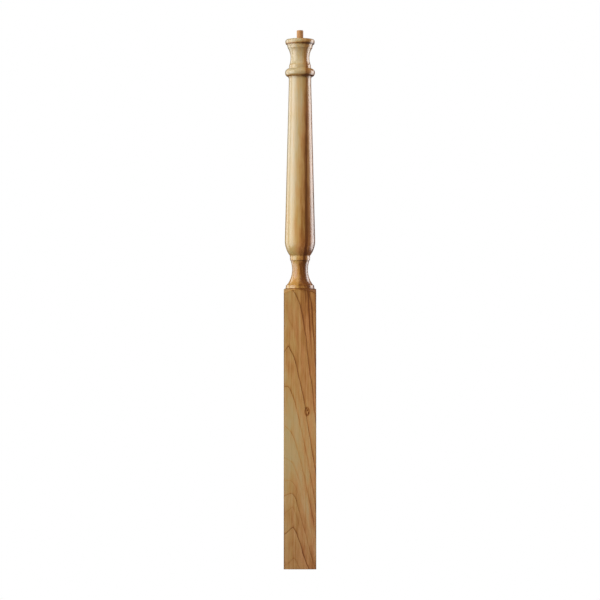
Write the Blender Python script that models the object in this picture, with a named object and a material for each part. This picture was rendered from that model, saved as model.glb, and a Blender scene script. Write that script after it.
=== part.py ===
"""Turned newel post: square block below, tapered turning above, dowel pin in its top."""

import math

import bmesh
import bpy

# Square block (all sizes in metres)
BLOCK_WIDTH = 0.0762
BLOCK_HEIGHT = 0.6468
ARRIS_RADIUS = 0.0010

# Sloping shoulder, turned from the block's corners in to the foot of the turning
SHOULDER_RISE = 0.0111
SHOULDER_ROUNDING = 0.15

# Foot fillet that stands on the shoulder
FOOT_HEIGHT = 0.0077
FOOT_LOWER_RADIUS = 0.0342
FOOT_UPPER_RADIUS = 0.0330

# Long hollow between the foot fillet and the collar
HOLLOW_FOOT_RADIUS = 0.0318
HOLLOW_WAIST_RADIUS = 0.01865
HOLLOW_HEAD_RADIUS = 0.0223
HOLLOW_LOWER_HEIGHT = 0.0364
HOLLOW_UPPER_HEIGHT = 0.0218
HOLLOW_LOWER_TURN = 48.0
HOLLOW_UPPER_TURN = 19.0

# Collar band
COLLAR_HEIGHT = 0.0110
COLLAR_LOWER_RADIUS = 0.0234
COLLAR_UPPER_RADIUS = 0.0238

# Bulb and tapered shaft
BULB_HEIGHT = 0.0352
BULB_RADIUS = 0.0358
BULB_TURN = 37.0
SHAFT_LENGTH = 0.3700
NECK_LENGTH = 0.0146
NECK_RADIUS = 0.0264

# Bead with a fillet below it and one above it
LOWER_FILLET_HEIGHT = 0.0024
LOWER_FILLET_RADIUS = 0.0275
BEAD_HEIGHT = 0.0192
BEAD_RADIUS = 0.0353
UPPER_FILLET_HEIGHT = 0.0024
UPPER_FILLET_RADIUS = 0.0262

# Vase: a foot band, then a hollow that opens toward the cap
VASE_FOOT_HEIGHT = 0.0058
VASE_FOOT_RADIUS = 0.0257
VASE_LOWER_RADIUS = 0.0253
VASE_WAIST_RADIUS = 0.0222
VASE_UPPER_RADIUS = 0.0282
VASE_LOWER_HEIGHT = 0.0171
VASE_UPPER_HEIGHT = 0.0223
VASE_LOWER_TURN = 23.0
VASE_UPPER_TURN = 30.0

# Band and round-edged cap disc
BAND_HEIGHT = 0.0094
BAND_LOWER_RADIUS = 0.0286
BAND_UPPER_RADIUS = 0.0309
CAP_HEIGHT = 0.0118
CAP_CREST_HEIGHT = 0.0070
CAP_ROOT_RADIUS = 0.0323
CAP_RADIUS = 0.0347
CAP_FLAT_RADIUS = 0.0301

# Dowel pin and the socket bored for it
PIN_DIAMETER = 0.0155
PIN_LENGTH_OUT = 0.0215
PIN_LENGTH_IN = 0.0300
PIN_CHAMFER = 0.0009
PIN_CLEARANCE = 0.0003

# Facets of the solids
ROUND_SEGMENTS = 48
SHOULDER_STEPS = 6
ARRIS_SEGMENTS = 2
SMOOTH_ANGLE = 20.0
TOOL_OVERRUN = 0.0100

# Levels, worked out from the underside up
shoulder_top = BLOCK_HEIGHT + SHOULDER_RISE
foot_top = shoulder_top + FOOT_HEIGHT
hollow_waist = foot_top + HOLLOW_LOWER_HEIGHT
collar_bottom = hollow_waist + HOLLOW_UPPER_HEIGHT
collar_top = collar_bottom + COLLAR_HEIGHT
bulb_crest = collar_top + BULB_HEIGHT
neck_bottom = bulb_crest + SHAFT_LENGTH
neck_top = neck_bottom + NECK_LENGTH
bead_bottom = neck_top + LOWER_FILLET_HEIGHT
bead_crest = bead_bottom + BEAD_HEIGHT / 2
bead_top = bead_bottom + BEAD_HEIGHT
vase_foot = bead_top + UPPER_FILLET_HEIGHT
vase_bottom = vase_foot + VASE_FOOT_HEIGHT
vase_waist = vase_bottom + VASE_LOWER_HEIGHT
band_bottom = vase_waist + VASE_UPPER_HEIGHT
cap_bottom = band_bottom + BAND_HEIGHT
cap_crest = cap_bottom + CAP_CREST_HEIGHT
cap_top = cap_bottom + CAP_HEIGHT


def clear_scene():
    """Remove every object that the scene starts with."""
    for old in list(bpy.data.objects):
        bpy.data.objects.remove(old, do_unlink=True)


def wood_material(name, colour, roughness):
    """Principled wood finish with one colour and one roughness."""
    material = bpy.data.materials.new(name)
    material.use_nodes = True
    shader = material.node_tree.nodes["Principled BSDF"]
    shader.inputs["Base Color"].default_value = (*colour, 1.0)
    shader.inputs["Roughness"].default_value = roughness
    shader.inputs["Metallic"].default_value = 0.0
    return material


def sweep(start, end, turn_degrees, steps):
    """Ellipse arc that leaves start along the post's axis and bends away to end.

    Points are (radius, height). The turn says how much of the ellipse is used: 90 degrees
    ends square to the axis, and a smaller turn gives a flatter curve.
    """
    turn = math.radians(turn_degrees)
    points = []
    for step in range(steps + 1):
        angle = turn * step / steps
        across = (1 - math.cos(angle)) / (1 - math.cos(turn))
        along = math.sin(angle) / math.sin(turn)
        radius = start[0] + (end[0] - start[0]) * across
        height = start[1] + (end[1] - start[1]) * along
        points.append((radius, height))
    return points


def bulge(lower, crest, upper, steps):
    """Round moulding from its lower root, out over the crest, to its upper root."""
    under_side = sweep(crest, lower, 90, steps)
    upper_side = sweep(crest, upper, 90, steps)
    return under_side[::-1] + upper_side[1:]


def hollow(lower, waist, upper, lower_turn, upper_turn, lower_steps, upper_steps):
    """Concave moulding from its lower end, in to the waist, and out to its upper end."""
    under_side = sweep(waist, lower, lower_turn, lower_steps)
    upper_side = sweep(waist, upper, upper_turn, upper_steps)
    return under_side[::-1] + upper_side[1:]


def shoulder_outline():
    """Turned shoulder, carried past the block's corners so that it cuts them clean.

    With t from 0 at the foot fillet to 1 at the block's corner, it falls by the rise times
    ((1 - c) t + c t^2), where c is the rounding.
    """
    corner_radius = BLOCK_WIDTH / math.sqrt(2)
    span = corner_radius - FOOT_LOWER_RADIUS
    points = []
    for step in range(SHOULDER_STEPS, 0, -1):
        t = step / SHOULDER_STEPS
        fall = (1 - SHOULDER_ROUNDING) * t + SHOULDER_ROUNDING * t ** 2
        points.append((FOOT_LOWER_RADIUS + span * t, shoulder_top - SHOULDER_RISE * fall))
    outer_slope = SHOULDER_RISE * (1 + SHOULDER_ROUNDING) / span
    outer = (corner_radius + TOOL_OVERRUN, BLOCK_HEIGHT - outer_slope * TOOL_OVERRUN)
    return [outer] + points


def lower_turning_outline():
    """Foot fillet, long hollow, collar and bulb, from the shoulder up."""
    outline = [(FOOT_LOWER_RADIUS, shoulder_top), (FOOT_UPPER_RADIUS, foot_top)]
    outline += hollow(
        (HOLLOW_FOOT_RADIUS, foot_top),
        (HOLLOW_WAIST_RADIUS, hollow_waist),
        (HOLLOW_HEAD_RADIUS, collar_bottom),
        HOLLOW_LOWER_TURN, HOLLOW_UPPER_TURN, 7, 4)
    outline.append((COLLAR_LOWER_RADIUS, collar_bottom))
    bulb = sweep((BULB_RADIUS, bulb_crest), (COLLAR_UPPER_RADIUS, collar_top), BULB_TURN, 7)
    return outline + bulb[::-1]


def upper_turning_outline():
    """Neck, bead with its fillets, vase, band and cap disc, up to the flat top."""
    outline = [(NECK_RADIUS, neck_bottom), (NECK_RADIUS, neck_top)]
    outline.append((LOWER_FILLET_RADIUS, neck_top))
    outline += bulge(
        (LOWER_FILLET_RADIUS, bead_bottom),
        (BEAD_RADIUS, bead_crest),
        (UPPER_FILLET_RADIUS, bead_top), 5)
    outline += [(UPPER_FILLET_RADIUS, vase_foot), (VASE_FOOT_RADIUS, vase_foot)]
    outline.append((VASE_FOOT_RADIUS, vase_bottom))
    outline += hollow(
        (VASE_LOWER_RADIUS, vase_bottom),
        (VASE_WAIST_RADIUS, vase_waist),
        (VASE_UPPER_RADIUS, band_bottom),
        VASE_LOWER_TURN, VASE_UPPER_TURN, 4, 5)
    outline += [(BAND_LOWER_RADIUS, band_bottom), (BAND_UPPER_RADIUS, cap_bottom)]
    outline += bulge(
        (CAP_ROOT_RADIUS, cap_bottom),
        (CAP_RADIUS, cap_crest),
        (CAP_FLAT_RADIUS, cap_top), 5)
    return outline


def turned_mesh(name, outline, segments):
    """Solid of revolution about Z: the outline runs from one end of the axis to the other."""
    mesh = bpy.data.meshes.new(name)
    bm = bmesh.new()
    verts = [bm.verts.new((radius, 0.0, height)) for radius, height in outline]
    edges = [bm.edges.new(pair) for pair in zip(verts, verts[1:])]
    bmesh.ops.spin(
        bm, geom=verts + edges, cent=(0, 0, 0), axis=(0, 0, 1),
        angle=2 * math.pi, steps=segments, use_merge=True)
    bmesh.ops.remove_doubles(bm, verts=bm.verts, dist=0.000001)
    bmesh.ops.recalc_face_normals(bm, faces=bm.faces)
    bm.to_mesh(mesh)
    bm.free()
    mesh.shade_smooth()
    mesh.set_sharp_from_angle(angle=math.radians(SMOOTH_ANGLE))
    return mesh


def block_mesh(name, width, bottom, top):
    """Square bar with eased long edges."""
    mesh = bpy.data.meshes.new(name)
    bm = bmesh.new()
    bmesh.ops.create_cube(bm, size=1.0)
    bmesh.ops.scale(bm, verts=bm.verts, vec=(width, width, top - bottom))
    bmesh.ops.translate(bm, verts=bm.verts, vec=(0, 0, (top + bottom) / 2))
    long_edges = [e for e in bm.edges if abs(e.verts[0].co.z - e.verts[1].co.z) > width / 2]
    bmesh.ops.bevel(
        bm, geom=long_edges, offset=ARRIS_RADIUS, offset_type="OFFSET",
        segments=ARRIS_SEGMENTS, profile=0.5, affect="EDGES")
    bm.to_mesh(mesh)
    bm.free()
    return mesh


def add_object(name, mesh, material=None):
    """Put a mesh into the scene as a named object."""
    item = bpy.data.objects.new(name, mesh)
    bpy.context.collection.objects.link(item)
    if material:
        mesh.materials.append(material)
    return item


def add_cutter(name, mesh):
    """Guide solid for a Boolean: shown as wire and left out of renders."""
    cutter = add_object(name, mesh)
    cutter.display_type = "WIRE"
    cutter.hide_render = True
    return cutter


def add_boolean(item, cutter, operation):
    """Exact Boolean of one object with a cutter."""
    boolean = item.modifiers.new(cutter.name, "BOOLEAN")
    boolean.operation = operation
    boolean.solver = "EXACT"
    boolean.object = cutter


def build_post(material):
    """Square bar cut to the turned outline, with the pin's socket bored in its top."""
    outline = [(0.0, -TOOL_OVERRUN)]
    shoulder = shoulder_outline()
    outline.append((shoulder[0][0], -TOOL_OVERRUN))
    outline += shoulder
    outline += lower_turning_outline()
    outline += upper_turning_outline()
    outline.append((0.0, cap_top))
    turning = add_cutter("turning_guide", turned_mesh("turning_guide", outline, ROUND_SEGMENTS))

    socket_radius = PIN_DIAMETER / 2 + PIN_CLEARANCE
    socket_floor = cap_top - PIN_LENGTH_IN - PIN_CLEARANCE
    socket_outline = [
        (0.0, socket_floor),
        (socket_radius, socket_floor),
        (socket_radius, cap_top + TOOL_OVERRUN),
        (0.0, cap_top + TOOL_OVERRUN),
    ]
    socket = add_cutter("socket_guide", turned_mesh("socket_guide", socket_outline, ROUND_SEGMENTS))

    bar = block_mesh("newel_post", BLOCK_WIDTH, 0.0, cap_top + TOOL_OVERRUN)
    post = add_object("newel_post", bar, material)
    add_boolean(post, turning, "INTERSECT")
    add_boolean(post, socket, "DIFFERENCE")
    return post


def build_pin(post, material):
    """Round dowel with both ends chamfered, standing in the socket at the post's top."""
    radius = PIN_DIAMETER / 2
    outline = [
        (0.0, -PIN_LENGTH_IN),
        (radius - PIN_CHAMFER, -PIN_LENGTH_IN),
        (radius, PIN_CHAMFER - PIN_LENGTH_IN),
        (radius, PIN_LENGTH_OUT - PIN_CHAMFER),
        (radius - PIN_CHAMFER, PIN_LENGTH_OUT),
        (0.0, PIN_LENGTH_OUT),
    ]
    pin = add_object("dowel_pin", turned_mesh("dowel_pin", outline, ROUND_SEGMENTS), material)
    pin.location = (0.0, 0.0, cap_top)
    pin.parent = post
    return pin


def main():
    clear_scene()
    satin_wood = wood_material("satin_hardwood", (0.47, 0.27, 0.12), 0.35)
    pin_wood = wood_material("pin_hardwood", (0.34, 0.17, 0.07), 0.60)
    post = build_post(satin_wood)
    build_pin(post, pin_wood)


main()
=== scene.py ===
import math

import bpy
import numpy as np
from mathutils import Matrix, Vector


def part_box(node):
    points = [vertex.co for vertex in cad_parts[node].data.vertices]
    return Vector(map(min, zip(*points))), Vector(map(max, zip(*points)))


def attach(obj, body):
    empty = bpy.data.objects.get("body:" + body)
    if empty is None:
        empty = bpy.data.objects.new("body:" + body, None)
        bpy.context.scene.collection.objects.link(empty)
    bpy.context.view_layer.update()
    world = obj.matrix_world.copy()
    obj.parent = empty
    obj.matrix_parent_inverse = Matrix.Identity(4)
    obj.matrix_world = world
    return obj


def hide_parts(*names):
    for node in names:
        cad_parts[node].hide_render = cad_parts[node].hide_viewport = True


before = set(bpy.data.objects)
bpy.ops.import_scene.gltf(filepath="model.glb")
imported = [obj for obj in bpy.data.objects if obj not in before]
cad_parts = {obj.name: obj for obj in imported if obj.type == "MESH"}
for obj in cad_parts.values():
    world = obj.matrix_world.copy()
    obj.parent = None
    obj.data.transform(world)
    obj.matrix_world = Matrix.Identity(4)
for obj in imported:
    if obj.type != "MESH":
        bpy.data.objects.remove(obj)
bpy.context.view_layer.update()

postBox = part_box("newel_post")
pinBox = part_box("dowel_pin")
print("frame loaded")


# Sizes of the newel post's mouldings, in metres and degrees, from the underside up. The width
# and the top come from the frame.
post = dict(
    width=postBox[1].x - postBox[0].x, top=postBox[1].z,
    arris=0.0010,            # rounding of the block's long edges
    sanding=0.0005,          # easing of the sawn underside's edge
    crease=0.00035,          # softening of each turned corner
    blockHeight=0.6468, shoulderRise=0.0111, shoulderRounding=0.15,
    footHeight=0.0077, footLower=0.0342, footUpper=0.0330,
    hollowFoot=0.0318, hollowWaist=0.01865, hollowHead=0.0223,
    hollowLowerHeight=0.0364, hollowUpperHeight=0.0218, hollowLowerTurn=48, hollowUpperTurn=19,
    collarHeight=0.0110, collarLower=0.0234, collarUpper=0.0238,
    bulbHeight=0.0352, bulb=0.0358, bulbTurn=37,
    shaftLength=0.3700, neckLength=0.0146, neck=0.0264,
    lowerFilletHeight=0.0024, lowerFillet=0.0275,
    beadHeight=0.0192, bead=0.0353,
    upperFilletHeight=0.0024, upperFillet=0.0262,
    vaseFootHeight=0.0058, vaseFoot=0.0257, vaseLower=0.0253, vaseWaist=0.0222, vaseUpper=0.0282,
    vaseLowerHeight=0.0171, vaseUpperHeight=0.0223, vaseLowerTurn=23, vaseUpperTurn=30,
    bandHeight=0.0094, bandLower=0.0286, bandUpper=0.0309,
    capHeight=0.0118, capCrest=0.0070, capRoot=0.0323, cap=0.0347, capFlat=0.0301,
    socketGap=0.0003,        # between the pin and its socket
    faceColumns=34, arcColumns=6, sharpest=14,
)

# The dowel pin in the post's top.
pin = dict(chamfer=0.0009, crease=0.0003, columns=96, sharpest=14)


# Points (radius, height) along an ellipse arc that leaves start along the axis and bends away
# to end: radius goes with (1 - cos a) / (1 - cos turn), height with sin a / sin turn.
def sweepCurve(start, end, turn, steps):
    angle = np.radians(np.linspace(0, turn, steps + 1))
    across = (1 - np.cos(angle)) / (1 - math.cos(math.radians(turn)))
    along = np.sin(angle) / math.sin(math.radians(turn))
    return np.array(start) + np.stack([across * (end[0] - start[0]), along * (end[1] - start[1])], 1)


# Points of a concave moulding: an arc in from the lower end to the waist, and one out again.
def hollowCurve(lower, waist, upper, lowerTurn, upperTurn, steps):
    return np.concatenate([
        sweepCurve(waist, lower, lowerTurn, steps)[::-1],
        sweepCurve(waist, upper, upperTurn, steps)[1:]])


# Points of a round moulding: quarter ellipses out from the lower root and in to the upper root.
def bulgeCurve(lower, crest, upper, steps):
    return np.concatenate([
        sweepCurve(crest, lower, 90, steps)[::-1],
        sweepCurve(crest, upper, 90, steps)[1:]])


# Columns round a square with rounded edges, as (angle, radius): flat sides at x = half, and
# quarter circles of the arris radius about (half - arris, half - arris), repeated four times.
def squareColumns(width, arris, faceColumns, arcColumns):
    half = width / 2
    reach = half - arris
    flat = np.tan(np.linspace(-1, 1, faceColumns) * math.atan(reach / half)) * half
    beside = reach - 0.25 * arris
    flat = np.sort(np.concatenate([flat, [-beside, beside]]))
    turn = np.linspace(0, math.pi / 2, arcColumns + 1)[1:-1]
    x = np.concatenate([np.full(len(flat), half), reach + arris * np.cos(turn)])
    y = np.concatenate([flat, reach + arris * np.sin(turn)])
    quarter = np.arange(4)[:, None] * math.pi / 2
    angle = (np.arctan2(y, x)[None] + quarter).ravel()
    return angle, np.tile(np.hypot(x, y), 4)


# Rows (n, columns, 2) with each sharp corner swapped for a small curve. The curve is
# (1-t)^2 before + 2t(1-t) corner + t^2 after, with one more row just outside each end.
def easedRows(rows, size, sharpest):
    into = rows[1:-1] - rows[:-2]
    out = rows[2:] - rows[1:-1]
    intoLength = np.linalg.norm(into, axis=2, keepdims=True)
    outLength = np.linalg.norm(out, axis=2, keepdims=True)
    into = into / intoLength
    out = out / outLength
    bend = np.degrees(np.arccos(np.clip((into * out).sum(2), -1, 1))).max(1)
    reach = np.minimum(size[1:-1, None, None], 0.42 * np.minimum(intoLength, outLength))
    corner = rows[1:-1]
    before = corner - into * reach
    after = corner + out * reach
    t = np.linspace(0, 1, 5)[None, :, None, None]
    curve = (1 - t) ** 2 * before[:, None] + 2 * t * (1 - t) * corner[:, None] + t ** 2 * after[:, None]
    beyond = 0.15 * reach
    samples = np.concatenate([(before - into * beyond)[:, None], curve, (after + out * beyond)[:, None]], 1)
    sharp = bend > sharpest
    samples[~sharp, 3] = corner[~sharp]
    keep = np.repeat(sharp[:, None], samples.shape[1], 1)
    keep[:, 3] = True
    return np.concatenate([rows[:1], samples[keep], rows[-1:]])


# Closed mesh from rows (n, columns, 2) of (radius, height) at the columns' angles, with a pole on
# the axis below the first row and above the last: x = r cos a, y = r sin a, z = h.
def roundMesh(name, rows, angle):
    count, columns = rows.shape[:2]
    ring = np.stack([rows[..., 0] * np.cos(angle), rows[..., 0] * np.sin(angle), rows[..., 1]], 2)
    poles = np.array([[0, 0, rows[0, :, 1].mean()], [0, 0, rows[-1, :, 1].mean()]])
    places = np.concatenate([ring.reshape(-1, 3), poles])
    index = np.arange(count * columns).reshape(count, columns)
    after = np.roll(index, -1, 1)
    quads = np.stack([index[:-1], after[:-1], after[1:], index[1:]], 2).reshape(-1, 4)
    first = np.full(columns, count * columns)
    lowerFan = np.stack([first, after[0], index[0]], 1)
    upperFan = np.stack([first + 1, index[-1], after[-1]], 1)
    mesh = bpy.data.meshes.new(name)
    mesh.from_pydata(places.tolist(), [], quads.tolist() + lowerFan.tolist() + upperFan.tolist())
    mesh.shade_smooth()
    return mesh


# Height of the turned shoulder at a radius: with t from 0 at the foot fillet to 1 at the block's
# corner, it falls by rise times ((1 - c) t + c t^2), c being the rounding.
def shoulderHeight(radius):
    span = post["width"] / math.sqrt(2) - post["footLower"]
    t = (radius - post["footLower"]) / span
    fall = (1 - post["shoulderRounding"]) * t + post["shoulderRounding"] * t ** 2
    return post["blockHeight"] + post["shoulderRise"] * (1 - fall)


# Levels of the mouldings, stacked from the underside up.
def postLevels():
    z = dict(shoulder=post["blockHeight"] + post["shoulderRise"])
    z["foot"] = z["shoulder"] + post["footHeight"]
    z["waist"] = z["foot"] + post["hollowLowerHeight"]
    z["collar"] = z["waist"] + post["hollowUpperHeight"]
    z["bulbFoot"] = z["collar"] + post["collarHeight"]
    z["bulb"] = z["bulbFoot"] + post["bulbHeight"]
    z["neck"] = z["bulb"] + post["shaftLength"]
    z["fillet"] = z["neck"] + post["neckLength"]
    z["bead"] = z["fillet"] + post["lowerFilletHeight"]
    z["beadTop"] = z["bead"] + post["beadHeight"]
    z["vaseFoot"] = z["beadTop"] + post["upperFilletHeight"]
    z["vase"] = z["vaseFoot"] + post["vaseFootHeight"]
    z["vaseWaist"] = z["vase"] + post["vaseLowerHeight"]
    z["band"] = z["vaseWaist"] + post["vaseUpperHeight"]
    z["cap"] = z["band"] + post["bandHeight"]
    z["capTop"] = z["cap"] + post["capHeight"]
    return z


# Outline (radius, height) of the turning, from the foot fillet over the cap and down the socket.
def turningOutline(z):
    p = post
    socket = (pinBox[1].x - pinBox[0].x) / 2 + p["socketGap"]
    socketFloor = pinBox[0].z - p["socketGap"]
    t = np.linspace(0, 1, 30)[1:, None]
    shaft = (1 - t) * np.array([p["bulb"], z["bulb"]]) + t * np.array([p["neck"], z["neck"]])
    return np.concatenate([
        [(p["footLower"], z["shoulder"]), (p["footUpper"], z["foot"])],
        hollowCurve(
            (p["hollowFoot"], z["foot"]), (p["hollowWaist"], z["waist"]), (p["hollowHead"], z["collar"]),
            p["hollowLowerTurn"], p["hollowUpperTurn"], 16),
        [(p["collarLower"], z["collar"])],
        sweepCurve((p["bulb"], z["bulb"]), (p["collarUpper"], z["bulbFoot"]), p["bulbTurn"], 18)[::-1],
        shaft,
        [(p["neck"], z["fillet"]), (p["lowerFillet"], z["fillet"])],
        bulgeCurve((p["lowerFillet"], z["bead"]), (p["bead"], (z["bead"] + z["beadTop"]) / 2),
                   (p["upperFillet"], z["beadTop"]), 14),
        [(p["upperFillet"], z["vaseFoot"]), (p["vaseFoot"], z["vaseFoot"]), (p["vaseFoot"], z["vase"])],
        hollowCurve(
            (p["vaseLower"], z["vase"]), (p["vaseWaist"], z["vaseWaist"]), (p["vaseUpper"], z["band"]),
            p["vaseLowerTurn"], p["vaseUpperTurn"], 14),
        [(p["bandLower"], z["band"]), (p["bandUpper"], z["cap"])],
        bulgeCurve((p["capRoot"], z["cap"]), (p["cap"], z["cap"] + p["capCrest"]),
                   (p["capFlat"], z["capTop"]), 14),
        [(socket, z["capTop"]), (socket, socketFloor), (socket / 2, socketFloor)],
    ])


# The post: block rows at z = t * crease height, shoulder rows at r = side + s (foot - side), and
# then the turning, all on the square's columns.
def buildPost():
    p = post
    z = postLevels()
    angle, side = squareColumns(p["width"], p["arris"], p["faceColumns"], p["arcColumns"])
    crease = shoulderHeight(side)
    under = np.array([0.4, 0.8, 0.97, 1.0])[:, None] * side
    rise = np.linspace(0, 1, 45)[1:, None] * crease
    turned = side + np.linspace(0, 1, 12)[1:-1, None] * (p["footLower"] - side)
    outline = turningOutline(z)
    rows = np.concatenate([
        np.stack([under, np.zeros_like(under)], 2),
        np.stack([np.broadcast_to(side, rise.shape), rise], 2),
        np.stack([turned, shoulderHeight(turned)], 2),
        np.broadcast_to(outline[:, None], (len(outline), len(angle), 2)),
    ])
    easing = np.full(len(rows), p["crease"])
    easing[len(under) - 1] = p["sanding"]
    mesh = roundMesh("turnedPost", easedRows(rows, easing, p["sharpest"]), angle)
    print("post:", len(mesh.polygons), "faces, top", round(z["capTop"], 4), "frame", round(p["top"], 4))
    return bpy.data.objects.new("turnedPost", mesh)


# The pin: a cylinder with both ends chamfered, r and h from the frame's box of the node.
def buildPin():
    radius = (pinBox[1].x - pinBox[0].x) / 2
    low = pinBox[0].z
    high = pinBox[1].z
    cut = pin["chamfer"]
    t = np.linspace(0, 1, 8)[:, None]
    barrel = (1 - t) * np.array([radius, low + cut]) + t * np.array([radius, high - cut])
    outline = np.concatenate([
        [(radius * 0.5, low), (radius - cut, low)], barrel, [(radius - cut, high), (radius * 0.5, high)]])
    angle = np.linspace(0, 2 * math.pi, pin["columns"], endpoint=False)
    rows = np.broadcast_to(outline[:, None], (len(outline), len(angle), 2))
    mesh = roundMesh("topPin", easedRows(rows, np.full(len(rows), pin["crease"]), pin["sharpest"]), angle)
    print("pin:", len(mesh.polygons), "faces")
    return bpy.data.objects.new("topPin", mesh)


# Camera: level, square to the block's front face, a long lens as in a catalogue picture.
camera = dict(distance=4.6, height=0.6305, lens=116.95, sensor=36)


def buildCamera():
    data = bpy.data.cameras.new("camera")
    data.lens = camera["lens"]
    data.sensor_width = camera["sensor"]
    item = bpy.data.objects.new("camera", data)
    item.location = (0, -camera["distance"], camera["height"])
    item.rotation_euler = (math.radians(90), 0, 0)
    bpy.context.scene.collection.objects.link(item)
    bpy.context.scene.camera = item


# Softboxes round the post: upright ones at the sides, large ones high in front and behind, and a
# faint one low in front. A bearing is in degrees from the camera's side, to the right when positive,
# power is a box's radiance, and a mirrored box is seen in the gloss.
studio = dict(
    aim=1.05, ambient=0.07,
    key=dict(mirrored=True, bearing=-77, elevation=0, distance=2.0, width=0.95, height=2.1, power=2.35),
    side=dict(mirrored=True, bearing=-53, elevation=0, distance=2.0, width=0.85, height=2.1, power=1.35),
    overhead=dict(mirrored=False, bearing=-13, elevation=45, distance=6.0, width=6.0, height=4.6, power=2.75),
    bounce=dict(mirrored=False, bearing=-15, elevation=-35, distance=6.0, width=6.0, height=3.0, power=0.45),
    rear=dict(mirrored=False, bearing=180, elevation=30, distance=6.0, width=6.0, height=4.6, power=1.9),
    back=dict(mirrored=True, bearing=-118, elevation=0, distance=2.0, width=0.9, height=2.1, power=1.7),
    rim=dict(mirrored=True, bearing=113, elevation=0, distance=2.0, width=1.30, height=2.1, power=3.0),
)


# One rectangle of light that faces the post: its energy is radiance * 4 * its area.
def softbox(name, look):
    data = bpy.data.lights.new(name, "AREA")
    data.shape = "RECTANGLE"
    data.size = look["width"]
    data.size_y = look["height"]
    data.energy = look["power"] * 4 * look["width"] * look["height"]
    item = bpy.data.objects.new(name, data)
    turn = math.radians(look["bearing"])
    rise = math.radians(look["elevation"])
    away = look["distance"] * math.cos(rise)
    up = studio["aim"] + look["distance"] * math.sin(rise)
    item.location = (away * math.sin(turn), -away * math.cos(turn), up)
    item.rotation_euler = (math.radians(90) - rise, 0, turn)
    item.visible_glossy = look["mirrored"]
    bpy.context.scene.collection.objects.link(item)


# Paper that shines by itself, evenly from every side.
def glowMaterial(name, strength):
    material = bpy.data.materials.new(name)
    material.use_nodes = True
    nodes = material.node_tree.nodes
    nodes.clear()
    glow = nodes.new("ShaderNodeEmission")
    glow.inputs["Strength"].default_value = strength
    result = nodes.new("ShaderNodeOutputMaterial")
    material.node_tree.links.new(glow.outputs["Emission"], result.inputs["Surface"])
    return material


# The softboxes, a faint white room and the view's tone curve.
def buildStudio():
    for name in ("key", "side", "overhead", "bounce", "rear", "back", "rim"):
        softbox(name + "Softbox", studio[name])
    world = bpy.data.worlds.new("room")
    world.use_nodes = True
    background = world.node_tree.nodes["Background"]
    background.inputs["Color"].default_value = (1, 1, 1, 1)
    background.inputs["Strength"].default_value = studio["ambient"]
    bpy.context.scene.world = world
    bpy.context.scene.view_settings.view_transform = "Standard"


# Pale floor and, far round it, a pale drum: both are seen by the camera and light nothing.
stage = dict(floorHalf=8.0, floorDrop=0.0004, drumRadius=12.0, drumHalfHeight=12.0, drumColumns=64, glow=1.0)


def buildStage():
    half = stage["floorHalf"]
    corners = [(-half, -half, 0), (half, -half, 0), (half, half, 0), (-half, half, 0)]
    floorMesh = bpy.data.meshes.new("floor")
    floorMesh.from_pydata(corners, [], [(0, 1, 2, 3)])
    floor = bpy.data.objects.new("floor", floorMesh)
    floor.location.z = -stage["floorDrop"]
    angle = np.linspace(0, 2 * math.pi, stage["drumColumns"], endpoint=False)
    ends = np.array([-1, 1])[:, None] * stage["drumHalfHeight"]
    wall = np.stack(np.broadcast_arrays(stage["drumRadius"], ends + 0 * angle), 2)
    drum = bpy.data.objects.new("backdrop", roundMesh("backdrop", wall, angle))
    for item in (floor, drum):
        item.data.materials.append(glowMaterial(item.name + "Paper", stage["glow"]))
        item.visible_diffuse = False
        item.visible_glossy = False
        item.visible_shadow = False
        bpy.context.scene.collection.objects.link(item)


# Output of a Math node; each input is a number or a socket.
def calc(tree, operation, *inputs):
    node = tree.nodes.new("ShaderNodeMath")
    node.operation = operation
    for slot, value in zip(node.inputs, inputs):
        if isinstance(value, (int, float)):
            slot.default_value = value
        else:
            tree.links.new(value, slot)
    return node.outputs[0]


# Value b where the switch is 1 and a where it is 0: a + switch (b - a).
def blend(tree, switch, a, b):
    node = tree.nodes.new("ShaderNodeMix")
    for name, value in (("A", a), ("B", b)):
        if isinstance(value, (int, float)):
            node.inputs[name].default_value = value
        else:
            tree.links.new(value, node.inputs[name])
    tree.links.new(switch, node.inputs["Factor"])
    return node.outputs["Result"]


# Noise around zero, from about -0.5 to 0.5, on a place stretched by three factors.
def noiseAt(tree, place, stretch, detail=2.0, roughness=0.5):
    scaled = tree.nodes.new("ShaderNodeVectorMath")
    scaled.operation = "MULTIPLY"
    tree.links.new(place, scaled.inputs[0])
    scaled.inputs[1].default_value = stretch
    node = tree.nodes.new("ShaderNodeTexNoise")
    node.inputs["Scale"].default_value = 1.0
    node.inputs["Detail"].default_value = detail
    node.inputs["Roughness"].default_value = roughness
    tree.links.new(scaled.outputs[0], node.inputs["Vector"])
    return calc(tree, "SUBTRACT", node.outputs["Fac"], 0.5)


# Noise around zero along one number, at so many bumps a metre.
def noiseAlong(tree, value, scale, detail=1.0):
    node = tree.nodes.new("ShaderNodeTexNoise")
    node.noise_dimensions = "1D"
    node.inputs["Scale"].default_value = scale
    node.inputs["Detail"].default_value = detail
    tree.links.new(value, node.inputs["W"])
    return calc(tree, "SUBTRACT", node.outputs["Fac"], 0.5)


# Colour that follows (place, colour) stops in straight runs.
def rampColour(tree, value, stops):
    node = tree.nodes.new("ShaderNodeValToRGB")
    ramp = node.color_ramp
    while len(ramp.elements) < len(stops):
        ramp.elements.new(0.5)
    for element, (place, colour) in zip(ramp.elements, stops):
        element.position = place
        element.color = (*colour, 1)
    tree.links.new(value, node.inputs["Fac"])
    return node.outputs["Color"]


rampHeight = 1.25        # heights from 0 to this are in the ramps below, in metres


# Number that follows (height, number) pairs in straight runs; no number may be negative.
def rampNumber(tree, height, pairs):
    stops = [(place / rampHeight, (number, number, number)) for place, number in pairs]
    return rampColour(tree, calc(tree, "DIVIDE", height, rampHeight), stops)


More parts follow.
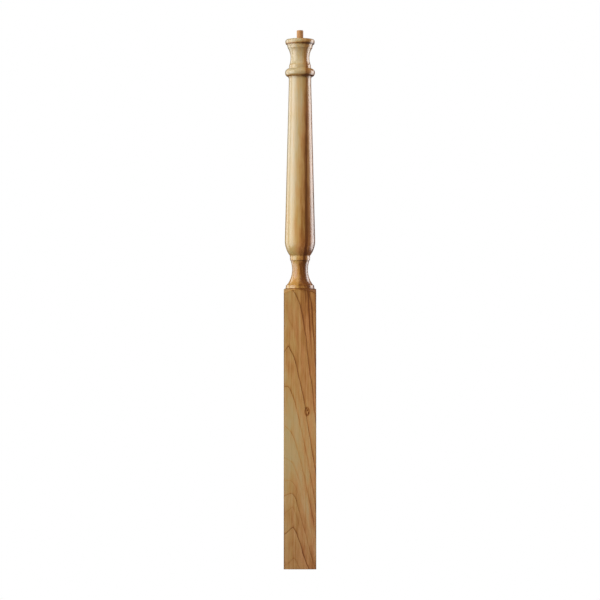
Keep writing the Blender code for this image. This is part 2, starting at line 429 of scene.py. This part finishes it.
# Place x along pairs (height, x), where x may be negative: the ramp holds x + shift.
def pathAt(tree, height, pairs):
    shift = wood["pathShift"]
    run = rampNumber(tree, height, [(h, x + shift) for h, x in pairs])
    return calc(tree, "SUBTRACT", run, shift)


# Sum of coefficients times powers of a socket: a + b v + c v^2.
def powers(tree, value, terms):
    total = terms[-1]
    for term in terms[-2::-1]:
        total = calc(tree, "MULTIPLY_ADD", value, total, term)
    return total


# exp(-(u^2 + v^2)), a soft spot, from the distances u and v to its middle.
def softSpot(tree, u, v):
    square = calc(tree, "MULTIPLY_ADD", u, u, calc(tree, "MULTIPLY", v, v))
    return calc(tree, "EXPONENT", calc(tree, "MULTIPLY", square, -1.0))


# (value - middle) / width, as a socket.
def offset(tree, value, middle, width):
    return calc(tree, "DIVIDE", calc(tree, "SUBTRACT", value, middle), width)


# 3 t^2 - 2 t^3, with t running from 0 at start to 1 at end; start may be the larger one.
def smoothStep(tree, value, start, end):
    node = tree.nodes.new("ShaderNodeMapRange")
    node.interpolation_type = "SMOOTHSTEP"
    node.inputs["From Min"].default_value = min(start, end)
    node.inputs["From Max"].default_value = max(start, end)
    node.inputs["To Min"].default_value = 0.0 if start < end else 1.0
    node.inputs["To Max"].default_value = 1.0 if start < end else 0.0
    tree.links.new(value, node.inputs["Value"])
    return node.outputs["Result"]


# 0 on upright faces and 1 on faces that look up or down, between two steepnesses.
def endFacing(tree, start, end):
    split = tree.nodes.new("ShaderNodeSeparateXYZ")
    tree.links.new(tree.nodes.new("ShaderNodeNewGeometry").outputs["Normal"], split.inputs[0])
    return smoothStep(tree, calc(tree, "ABSOLUTE", split.outputs["Z"]), start, end)


# Fine relief on a shader from a height socket.
def addBump(tree, shader, height, strength, distance):
    bump = tree.nodes.new("ShaderNodeBump")
    bump.inputs["Strength"].default_value = strength
    bump.inputs["Distance"].default_value = distance
    tree.links.new(height, bump.inputs["Height"])
    tree.links.new(bump.outputs["Normal"], shader.inputs["Normal"])


# The post's wood, in metres. Ring surfaces lie at
# q = height + rightSlope * right + rightBow * right^2 + leftSlope * left + depthSlope * depth,
# with right = (sqrt(a^2 + rounding^2) + a) / 2 and left = (sqrt(a^2 + rounding^2) - a) / 2 for the
# distance a to the right of the line of arch tops. So each ring draws an arch on the block's front,
# straight lines on its sides and bows on its end. Pairs are (height, number), those of the rings are
# (q, strength), and a tone runs from 0 at a palette's darkest stop to 1 at its palest.
wood = dict(
    crown=(-0.0144, -0.0210, -0.0052),    # x of the arch tops at a height h, as a + b h + c h^2
    rightSlope=(0.906, 13.0, -20.9), rightBow=(56.9, -39.6),    # powers of h as well
    leftSlope=(
        (0.0, 0.8), (0.12, 0.7), (0.20, 0.5), (0.29, -0.35), (0.44, -0.35), (0.50, 1.5), (0.62, 1.5)),
    leftBase=1.0,            # added while the left slope is in its ramp
    crownRounding=((0.15, 0.001), (0.20, 0.008), (0.37, 0.009), (0.42, 0.004), (0.48, 0.001)),
    figureTop=0.62, depthSlope=30.0, front=0.0381,
    waverScale=(22, 22, 7), waverShift=0.004, waverRise=0.022, waverHeartShade=0.008, waverStrand=0.003,
    rippleScale=(50, 50, 42), rippleShift=0.0036,
    rings=(
        (0.024, 0.35), (0.097, 1.0), (0.143, 0.30), (0.181, 0.70), (0.216, 0.35), (0.265, 0.50),
        (0.334, 0.70), (0.425, 0.75), (0.524, 1.0), (0.588, 0.22), (0.671, 0.95), (0.769, 0.90)),
    ringsEnd=0.83,           # plain rings follow, at uneven distances
    plainSpacing=0.055, plainStrength=0.35, plainSpread=0.6, plainScale=0.7,
    wanderScale=9.0, wanderTurns=2.5,
    lineWidth=0.0017, lineDepth=0.90,
    weakNear=0.006, weakFar=0.022,    # distances right of the arch tops over which weak lines fade
    paleRing=0.28, paleWidth=0.035, paleTone=0.13,
    heightTone=(
        (0.0, 0.49), (0.05, 0.50), (0.13, 0.55), (0.20, 0.73), (0.27, 0.87), (0.34, 0.80), (0.42, 0.64),
        (0.51, 0.52), (0.60, 0.53), (0.64, 0.54), (0.652, 0.54), (0.668, 0.45), (0.69, 0.44),
        (0.715, 0.52), (0.735, 0.68), (0.75, 0.76), (0.77, 0.75), (0.81, 0.71), (0.86, 0.76),
        (0.95, 0.82), (1.03, 0.86), (1.12, 0.88), (1.18, 0.89), (1.23, 0.90)),
    # painted shade: the tone falls towards the right (+x), the side away from the key light, by this much a
    # metre times the share by height on the next line
    rightShadeTone=2.6,
    rightShadeShare=(
        (0.0, 0.0), (0.10, 0.1), (0.20, 0.9), (0.28, 1.6), (0.36, 1.5), (0.45, 1.0), (0.54, 1.0),
        (0.62, 0.5), (0.68, 1.0), (0.736, 1.0), (0.740, 2.5), (0.752, 2.5), (0.768, 1.0), (1.25, 1.0)),
    figureEnd=(0.72, 0.82), figureLeft=0.15,    # heights over which the ring figure gives way to streaks
    ringScale=17.0, ringTone=0.26,
    cloudScale=(28, 28, 6), cloudTone=0.42,
    fleckScale=(120, 120, 26), fleckTone=0.54,
    streakScale=(170, 170, 2.5), streakTone=0.46,
    fibreScale=(850, 850, 14), fibreTone=0.52,
    # heartwood darker to the right of this edge, deepened as painted shade on the post's right-hand side
    heartShadeEdge=(
        (0.50, 0.003), (0.60, 0.002), (0.652, 0.001), (0.658, -0.003), (0.668, -0.002), (0.68, 0.001),
        (0.70, 0.0), (0.732, -0.001), (0.77, -0.002), (0.81, 0.002), (0.89, 0.003), (0.95, 0.005),
        (1.10, 0.006), (1.22, 0.008)),
    heartShadeDepth=(
        (0.50, 0.0), (0.56, 0.06), (0.61, 0.15), (0.652, 0.22), (0.658, 0.40), (0.672, 0.36),
        (0.715, 0.38), (0.724, 0.12), (0.7345, 0.12), (0.738, 0.36), (0.75, 0.38), (0.77, 0.42),
        (0.81, 0.48), (0.89, 0.48), (1.0, 0.44), (1.12, 0.36), (1.20, 0.28)),
    heartShadeSoftness=((0.60, 0.0034), (0.76, 0.0038), (0.82, 0.0090), (1.2, 0.0090)),
    pathShift=0.05,          # added while an edge or a path is in its ramp
    grainAndLightStrands=(
        dict(                # the dark streak, which bends at the hollow: grain, placed and deepened as painted shade on the turning's right side
            way=-1,
            path=(
                (0.50, 0.0280), (0.54, 0.0250), (0.58, 0.0222), (0.62, 0.0203), (0.652, 0.0195),
                (0.657, 0.0215), (0.673, 0.0166), (0.70, 0.0117), (0.732, 0.0103), (0.76, 0.0150),
                (1.20, 0.0156)),
            depth=(
                (0.50, 0.0), (0.54, 0.30), (0.645, 0.42), (0.656, 0.95), (0.72, 0.82), (0.77, 0.46),
                (0.92, 0.38), (1.0, 0.48), (1.15, 0.44), (1.22, 0.24)),
            width=(
                (0.50, 0.0012), (0.64, 0.0014), (0.658, 0.0030), (0.67, 0.0028), (0.69, 0.0022),
                (0.73, 0.0024), (0.76, 0.0030), (1.22, 0.0030))),
        dict(                # a fine one to its left
            way=-1,
            path=(
                (0.655, 0.0135), (0.664, 0.0110), (0.676, 0.0068), (0.697, 0.0030), (0.722, -0.0020),
                (0.735, -0.0030)),
            depth=((0.657, 0.0), (0.664, 0.34), (0.700, 0.34), (0.722, 0.22), (0.728, 0.0)),
            width=((0.65, 0.0011), (0.73, 0.0011))),
        dict(                # a pale one to its right: pale grain and a painted highlight along the right rim
            way=1,
            path=((0.655, 0.0285), (0.664, 0.0262), (0.673, 0.0225), (0.690, 0.0172), (0.71, 0.0158)),
            depth=((0.657, 0.0), (0.662, 0.42), (0.685, 0.34), (0.705, 0.0)),
            width=((0.65, 0.0036), (0.69, 0.0022)))),
    olive=(
        (0.0, (0.19, 0.070, 0.012)), (0.3, (0.41, 0.190, 0.042)), (0.5, (0.52, 0.285, 0.085)),
        (0.65, (0.57, 0.355, 0.120)), (0.8, (0.58, 0.410, 0.180)), (1.0, (0.57, 0.450, 0.250))),
    ruddy=(
        (0.0, (0.21, 0.060, 0.013)), (0.3, (0.46, 0.168, 0.048)), (0.5, (0.59, 0.255, 0.096)),
        (0.65, (0.65, 0.315, 0.130)), (0.8, (0.67, 0.375, 0.172)), (1.0, (0.67, 0.430, 0.220))),
    hue=(                    # 0 is all olive, 1 is all ruddy
        (0.0, 0.58), (0.60, 0.58), (0.655, 0.30), (0.734, 0.34), (0.738, 0.75), (0.752, 0.70),
        (0.775, 0.35), (0.80, 0.24), (0.95, 0.28), (1.08, 0.26), (1.18, 0.12), (1.25, 0.05)),
    hueSide=(
        (0.0, 6.0), (0.65, 6.0), (0.67, 22.0), (0.80, 16.0), (0.90, 13.0), (1.10, 13.0), (1.25, 8.0)),
    patchScale=(75, 75, 20), hueSpread=1.1,
    golden=(1.0, 0.94, 0.68),    # tint of the wood, by goldenShare
    goldenShare=(
        (0.05, 0.0), (0.127, 0.2), (0.20, 0.45), (0.27, 0.65), (0.34, 0.65), (0.41, 0.5), (0.55, 0.45),
        (0.62, 0.3), (0.652, 0.3), (0.658, 0.9), (0.75, 1.0), (0.775, 0.6), (0.82, 0.35), (0.95, 0.0)),
    knot=dict(
        x=0.0166, z=0.3696, width=0.0050, length=0.0085, rim=0.32, rimDepth=0.50, into=0.004,
        specks=((0.0176, 0.3722), (0.0201, 0.3661)), speckWidth=0.0014, speckLength=0.0021, speckDepth=1.3),
    shadeAndHighlightLines=(                # painted shade under the mouldings, in their creases and along the bottom edge: level, width and depth; a depth below 0 is a painted highlight line
        (0.0, 0.0012, 0.40), (0.6574, 0.0009, 0.50), (0.6608, 0.0012, -0.30), (0.7238, 0.0010, 0.20),
        (1.1585, 0.0024, 0.62), (1.1850, 0.0008, 0.25), (1.2342, 0.0022, 0.70)),
    arrisFrom=0.0356, arrisTo=0.0377, arrisTone=0.55, arrisHue=1.0,
    # painted shade along the crease under the shoulder, weaker on the lit left
    creaseDrop=0.0005, creaseWidth=0.0011, creaseShadeTone=0.60,
    creaseLeft=0.25, creaseSide=0.02,    # its share on the left, and how far from the middle that holds
    creaseFrom=0.3, creaseTo=0.8,        # it fades out as the face turns up
    endGrainFrom=0.82, endGrainTo=0.98, endGrainTone=0.16,
    roughness=0.28, roughnessSpread=0.10, specular=0.5, coat=1.0, coatRoughness=0.26,
    bump=0.10, bumpHeight=0.0002,
)


# The post's finish: satin hardwood with painted shade and highlights, worked out from the place on the post
# alone.
def satinWood():
    material = bpy.data.materials.new("satinWood")
    material.use_nodes = True
    tree = material.node_tree
    shader = tree.nodes["Principled BSDF"]
    place = tree.nodes.new("ShaderNodeTexCoord").outputs["Object"]
    split = tree.nodes.new("ShaderNodeSeparateXYZ")
    tree.links.new(place, split.inputs[0])
    x, y, z = split.outputs

    # arch figure: q and its slope across the face
    waver = noiseAt(tree, place, wood["waverScale"])
    height = calc(tree, "MINIMUM", z, wood["figureTop"])
    crown = powers(tree, height, wood["crown"])
    ripple = noiseAt(tree, place, wood["rippleScale"])
    bent = calc(tree, "MULTIPLY_ADD", waver, wood["waverShift"], x)
    bent = calc(tree, "MULTIPLY_ADD", ripple, wood["rippleShift"], bent)
    across = calc(tree, "SUBTRACT", bent, crown)
    rounding = rampNumber(tree, height, wood["crownRounding"])
    reach = calc(tree, "MULTIPLY_ADD", across, across, calc(tree, "MULTIPLY", rounding, rounding))
    reach = calc(tree, "MULTIPLY", calc(tree, "SQRT", reach), 0.5)
    right = calc(tree, "MULTIPLY_ADD", across, 0.5, reach)
    left = calc(tree, "MULTIPLY_ADD", across, -0.5, reach)
    rightSlope = powers(tree, height, wood["rightSlope"])
    rightBow = powers(tree, height, wood["rightBow"])
    base = wood["leftBase"]
    leftSlope = rampNumber(tree, height, [(h, slope + base) for h, slope in wood["leftSlope"]])
    leftSlope = calc(tree, "SUBTRACT", leftSlope, base)
    rightRun = calc(tree, "MULTIPLY_ADD", rightBow, right, rightSlope)
    figure = calc(tree, "MULTIPLY", rightRun, right)
    figure = calc(tree, "MULTIPLY_ADD", leftSlope, left, figure)
    deep = calc(tree, "MULTIPLY", calc(tree, "ADD", y, wood["front"]), wood["depthSlope"])
    q = calc(tree, "ADD", calc(tree, "ADD", z, figure), deep)
    q = calc(tree, "MULTIPLY_ADD", waver, wood["waverRise"], q)
    steep = calc(tree, "MULTIPLY_ADD", calc(tree, "MULTIPLY", rightBow, right), 2.0, rightSlope)
    steep = calc(tree, "MULTIPLY", steep, calc(tree, "GREATER_THAN", across, 0.0))
    stretch = calc(tree, "SQRT", calc(tree, "MULTIPLY_ADD", steep, steep, 1.0))

    # last ring boundary at or below q, and how strong its line is
    wander = noiseAlong(tree, q, wood["wanderScale"])
    turns = calc(tree, "DIVIDE", q, wood["plainSpacing"])
    turns = calc(tree, "MULTIPLY_ADD", wander, wood["wanderTurns"], turns)
    plainPast = calc(tree, "MULTIPLY", calc(tree, "FRACT", turns), wood["plainSpacing"])
    plainPower = noiseAlong(tree, calc(tree, "FLOOR", turns), wood["plainScale"])
    plainPower = calc(tree, "MULTIPLY_ADD", plainPower, wood["plainSpread"], wood["plainStrength"])
    past = plainPast
    power = plainPower
    for level, strength in wood["rings"]:
        reached = calc(tree, "GREATER_THAN", q, level)
        past = blend(tree, reached, past, calc(tree, "SUBTRACT", q, level))
        power = blend(tree, reached, power, strength)
    reached = calc(tree, "GREATER_THAN", q, wood["ringsEnd"])
    past = blend(tree, reached, past, plainPast)
    power = blend(tree, reached, power, plainPower)
    fade = calc(tree, "DIVIDE", past, calc(tree, "MULTIPLY", stretch, wood["lineWidth"]))
    near = smoothStep(tree, across, wood["weakFar"], wood["weakNear"])
    kept = calc(tree, "MULTIPLY_ADD", calc(tree, "SUBTRACT", 1.0, near), power, near)
    power = calc(tree, "MULTIPLY", power, kept)
    line = calc(tree, "MULTIPLY", calc(tree, "EXPONENT", calc(tree, "MULTIPLY", fade, -1.0)), power)

    # tone: by height, darker to the right as painted shade, with the rings and their lines, then clouds,
    # flecks, streaks and fibres
    tone = rampNumber(tree, z, wood["heightTone"])
    paintedSideShade = calc(tree, "MULTIPLY", x, rampNumber(tree, z, wood["rightShadeShare"]))
    tone = calc(tree, "MULTIPLY_ADD", paintedSideShade, -wood["rightShadeTone"], tone)
    figured = smoothStep(tree, z, wood["figureEnd"][1], wood["figureEnd"][0])
    figured = calc(tree, "MULTIPLY_ADD", figured, 1 - wood["figureLeft"], wood["figureLeft"])
    rings = calc(tree, "MULTIPLY", noiseAlong(tree, q, wood["ringScale"]), wood["ringTone"])
    rings = calc(tree, "MULTIPLY_ADD", line, -wood["lineDepth"], rings)
    pale = softSpot(tree, offset(tree, q, wood["paleRing"], wood["paleWidth"]), 0.0)
    rings = calc(tree, "MULTIPLY_ADD", pale, wood["paleTone"], rings)
    tone = calc(tree, "MULTIPLY_ADD", rings, figured, tone)
    for kind in ("cloud", "fleck", "streak"):
        mottle = noiseAt(tree, place, wood[kind + "Scale"])
        tone = calc(tree, "MULTIPLY_ADD", mottle, wood[kind + "Tone"], tone)
    fibres = noiseAt(tree, place, wood["fibreScale"], detail=3.0, roughness=0.6)
    tone = calc(tree, "MULTIPLY_ADD", fibres, wood["fibreTone"], tone)

    # heartwood and painted shade: darker to the right of an edge that moves with the height, the side away
    # from the key light
    inside = calc(tree, "MULTIPLY_ADD", waver, wood["waverHeartShade"], x)
    inside = calc(tree, "SUBTRACT", inside, pathAt(tree, z, wood["heartShadeEdge"]))
    inside = calc(tree, "DIVIDE", inside, rampNumber(tree, z, wood["heartShadeSoftness"]))
    inside = smoothStep(tree, inside, -1.0, 1.0)
    heartAndShade = calc(tree, "MULTIPLY", inside, rampNumber(tree, z, wood["heartShadeDepth"]))
    tone = calc(tree, "SUBTRACT", tone, heartAndShade)

    # dark and pale strands along paths x(z), grain with painted shade and a painted highlight: depth *
    # exp(-((x - path) / width)^2)
    for grainAndLight in wood["grainAndLightStrands"]:
        aside = calc(tree, "SUBTRACT", x, pathAt(tree, z, grainAndLight["path"]))
        aside = calc(tree, "MULTIPLY_ADD", waver, wood["waverStrand"], aside)
        aside = calc(tree, "DIVIDE", aside, rampNumber(tree, z, grainAndLight["width"]))
        layer = calc(tree, "MULTIPLY", softSpot(tree, aside, 0.0), rampNumber(tree, z, grainAndLight["depth"]))
        tone = calc(tree, "MULTIPLY_ADD", layer, grainAndLight["way"], tone)

    # knot on the front face: a dark oval rim, where u^2 + v^2 = 1, round two specks
    knot = wood["knot"]
    u = offset(tree, x, knot["x"], knot["width"])
    v = offset(tree, z, knot["z"], knot["length"])
    span = calc(tree, "SQRT", calc(tree, "MULTIPLY_ADD", u, u, calc(tree, "MULTIPLY", v, v)))
    eye = calc(tree, "MULTIPLY", softSpot(tree, offset(tree, span, 1.0, knot["rim"]), 0.0), knot["rimDepth"])
    for speckX, speckZ in knot["specks"]:
        u = offset(tree, x, speckX, knot["speckWidth"])
        v = offset(tree, z, speckZ, knot["speckLength"])
        eye = calc(tree, "MULTIPLY_ADD", softSpot(tree, u, v), knot["speckDepth"], eye)
    eye = calc(tree, "MULTIPLY", eye, calc(tree, "LESS_THAN", y, knot["into"] - wood["front"]))
    tone = calc(tree, "SUBTRACT", tone, eye)

    # painted shade in the turned creases, under the mouldings and along the block's bottom edge, a painted
    # highlight line on the foot, and darker along the block's rounded edges
    for level, width, depth in wood["shadeAndHighlightLines"]:
        paintedLine = softSpot(tree, offset(tree, z, level, width), 0.0)
        tone = calc(tree, "MULTIPLY_ADD", paintedLine, -depth, tone)
    corner = calc(tree, "MINIMUM", calc(tree, "ABSOLUTE", x), calc(tree, "ABSOLUTE", y))
    corner = smoothStep(tree, corner, wood["arrisFrom"], wood["arrisTo"])
    tone = calc(tree, "MULTIPLY_ADD", corner, -wood["arrisTone"], tone)

    # painted shade: a dark line along the block's top edge, just under the shoulder, weaker on the lit left
    radius = calc(tree, "SQRT", calc(tree, "MULTIPLY_ADD", x, x, calc(tree, "MULTIPLY", y, y)))
    t = offset(tree, radius, post["footLower"], post["width"] / math.sqrt(2) - post["footLower"])
    fall = powers(tree, t, (0.0, 1 - post["shoulderRounding"], post["shoulderRounding"]))
    top = post["blockHeight"] + post["shoulderRise"] - wood["creaseDrop"]
    crease = calc(tree, "MULTIPLY_ADD", fall, -post["shoulderRise"], top)
    below = calc(tree, "DIVIDE", calc(tree, "SUBTRACT", z, crease), wood["creaseWidth"])
    upright = calc(tree, "SUBTRACT", 1.0, endFacing(tree, wood["creaseFrom"], wood["creaseTo"]))
    topEdgeShade = calc(tree, "MULTIPLY", softSpot(tree, below, 0.0), upright)
    strength = smoothStep(tree, x, -wood["creaseSide"], wood["creaseSide"])
    strength = calc(tree, "MULTIPLY_ADD", strength, 1 - wood["creaseLeft"], wood["creaseLeft"])
    topEdgeShade = calc(tree, "MULTIPLY", topEdgeShade, strength)
    tone = calc(tree, "MULTIPLY_ADD", topEdgeShade, -wood["creaseShadeTone"], tone)

    # end grain is darker
    ends = endFacing(tree, wood["endGrainFrom"], wood["endGrainTo"])
    tone = calc(tree, "MULTIPLY_ADD", ends, -wood["endGrainTone"], tone)

    # colour: between an olive and a ruddy palette, times the golden tint; sockets 6 and 7 hold colours
    patches = noiseAt(tree, place, wood["patchScale"])
    hue = calc(tree, "MULTIPLY_ADD", patches, wood["hueSpread"], rampNumber(tree, z, wood["hue"]))
    hue = calc(tree, "MULTIPLY_ADD", x, rampNumber(tree, z, wood["hueSide"]), hue)
    hue = calc(tree, "MULTIPLY_ADD", corner, -wood["arrisHue"], hue)
    mixed = tree.nodes.new("ShaderNodeMix")
    mixed.data_type = "RGBA"
    tree.links.new(hue, mixed.inputs["Factor"])
    tree.links.new(rampColour(tree, tone, wood["olive"]), mixed.inputs[6])
    tree.links.new(rampColour(tree, tone, wood["ruddy"]), mixed.inputs[7])
    golden = tree.nodes.new("ShaderNodeMix")
    golden.data_type = "RGBA"
    golden.blend_type = "MULTIPLY"
    golden.inputs[7].default_value = (*wood["golden"], 1)
    tree.links.new(rampNumber(tree, z, wood["goldenShare"]), golden.inputs["Factor"])
    tree.links.new(mixed.outputs[2], golden.inputs[6])
    tree.links.new(golden.outputs[2], shader.inputs["Base Color"])
    roughness = calc(tree, "MULTIPLY_ADD", fibres, wood["roughnessSpread"], wood["roughness"])
    tree.links.new(roughness, shader.inputs["Roughness"])
    shader.inputs["Specular IOR Level"].default_value = wood["specular"]
    shader.inputs["Coat Weight"].default_value = wood["coat"]
    shader.inputs["Coat Roughness"].default_value = wood["coatRoughness"]
    addBump(tree, shader, fibres, wood["bump"], wood["bumpHeight"])
    return material


# The pin's wood: bare and matt, with upright streaks and pores, darker ends, and painted shade darker to its
# right.
pinWood = dict(
    tone=0.50, rightShadeTone=-18.0, endTone=-0.16, endFrom=0.5, endTo=0.9,
    streakScale=(420, 420, 14), streakTone=0.50, poreScale=(1500, 1500, 60), poreTone=0.45,
    palette=((0.0, (0.20, 0.075, 0.022)), (0.5, (0.50, 0.245, 0.090)), (1.0, (0.80, 0.50, 0.245))),
    roughness=0.62, specular=0.35, bump=0.25, bumpHeight=0.0002,
)


def mattWood():
    material = bpy.data.materials.new("mattWood")
    material.use_nodes = True
    tree = material.node_tree
    shader = tree.nodes["Principled BSDF"]
    place = tree.nodes.new("ShaderNodeTexCoord").outputs["Object"]
    split = tree.nodes.new("ShaderNodeSeparateXYZ")
    tree.links.new(place, split.inputs[0])
    streaks = noiseAt(tree, place, pinWood["streakScale"])
    pores = noiseAt(tree, place, pinWood["poreScale"], detail=3.0, roughness=0.6)
    # painted shade: darker towards the pin's right, away from the key light
    tone = calc(tree, "MULTIPLY_ADD", split.outputs["X"], pinWood["rightShadeTone"], pinWood["tone"])
    tone = calc(tree, "MULTIPLY_ADD", streaks, pinWood["streakTone"], tone)
    tone = calc(tree, "MULTIPLY_ADD", pores, pinWood["poreTone"], tone)
    ends = endFacing(tree, pinWood["endFrom"], pinWood["endTo"])
    tone = calc(tree, "MULTIPLY_ADD", ends, pinWood["endTone"], tone)
    tree.links.new(rampColour(tree, tone, pinWood["palette"]), shader.inputs["Base Color"])
    shader.inputs["Roughness"].default_value = pinWood["roughness"]
    shader.inputs["Specular IOR Level"].default_value = pinWood["specular"]
    addBump(tree, shader, pores, pinWood["bump"], pinWood["bumpHeight"])
    return material


buildCamera()
postPiece = buildPost()
pinPiece = buildPin()
for piece, node, slotName, finish in (
        (postPiece, "newel_post", "satin_hardwood", satinWood),
        (pinPiece, "dowel_pin", "pin_hardwood", mattWood)):
    bpy.context.scene.collection.objects.link(piece)
    piece.data.materials.append(finish())
    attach(piece, "root")
    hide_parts(node)
print("pieces finished")
buildStudio()
buildStage()
print("studio lit")
